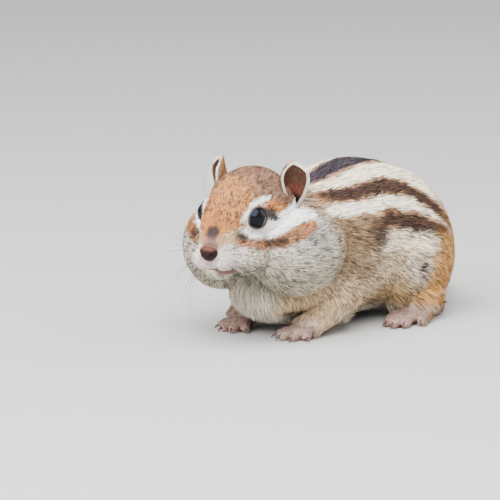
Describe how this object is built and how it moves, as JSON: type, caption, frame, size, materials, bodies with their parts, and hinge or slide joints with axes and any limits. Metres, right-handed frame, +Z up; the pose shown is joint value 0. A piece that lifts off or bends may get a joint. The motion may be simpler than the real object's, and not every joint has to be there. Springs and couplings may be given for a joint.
{
  "type": "chipmunk model",
  "caption": "Life-size still model of a striped chipmunk with full cheek pouches, crouched on four feet with its tail curled beside it.",
  "frame": {"origin": "middle of the underside of the whole box, on the floor the animal stands on", "axes": "-Y is the way the animal faces, +X its left, +Z up; Y is the longest side of the box and Z the shortest"},
  "size_m": [0.1074, 0.1514, 0.0575],
  "materials": {
    "coat": "short close fur, brown with dark and cream stripes, skin beneath it",
    "cheek": "short pale grey-cream fur",
    "leg": "short buff fur",
    "thigh": "short rusty fur",
    "tail": "long loose fur, grizzled",
    "ear": "thin skin with very short hair and a pale rim",
    "foot": "bare pinkish skin with thin hair",
    "nose": "moist bare skin",
    "eye": "wet, near black",
    "claw": "dark horn"
  },
  "bodies": {
    "root": {"cheek_pouch_left": "cheek", "cheek_pouch_right": "cheek", "ear_left": "ear", "ear_right": "ear", "eye_left": "eye", "eye_right": "eye", "fore_claw_left_1": "claw", "fore_claw_left_2": "claw", "fore_claw_left_3": "claw", "fore_claw_left_4": "claw", "fore_claw_right_1": "claw", "fore_claw_right_2": "claw", "fore_claw_right_3": "claw", "fore_claw_right_4": "claw", "foreleg_left": "leg", "foreleg_right": "leg", "forepaw_left": "foot", "forepaw_right": "foot", "head": "coat", "hind_claw_left_1": "claw", "hind_claw_left_2": "claw", "hind_claw_left_3": "claw", "hind_claw_left_4": "claw", "hind_claw_left_5": "claw", "hind_claw_right_1": "claw", "hind_claw_right_2": "claw", "hind_claw_right_3": "claw", "hind_claw_right_4": "claw", "hind_claw_right_5": "claw", "hindfoot_left": "foot", "hindfoot_right": "foot", "jaw": "cheek", "neck": "coat", "nose": "nose", "tail_base": "tail", "tail_middle": "tail", "tail_tip": "tail", "thigh_left": "thigh", "thigh_right": "thigh", "trunk": "coat"}
  },
  "joints": []
}
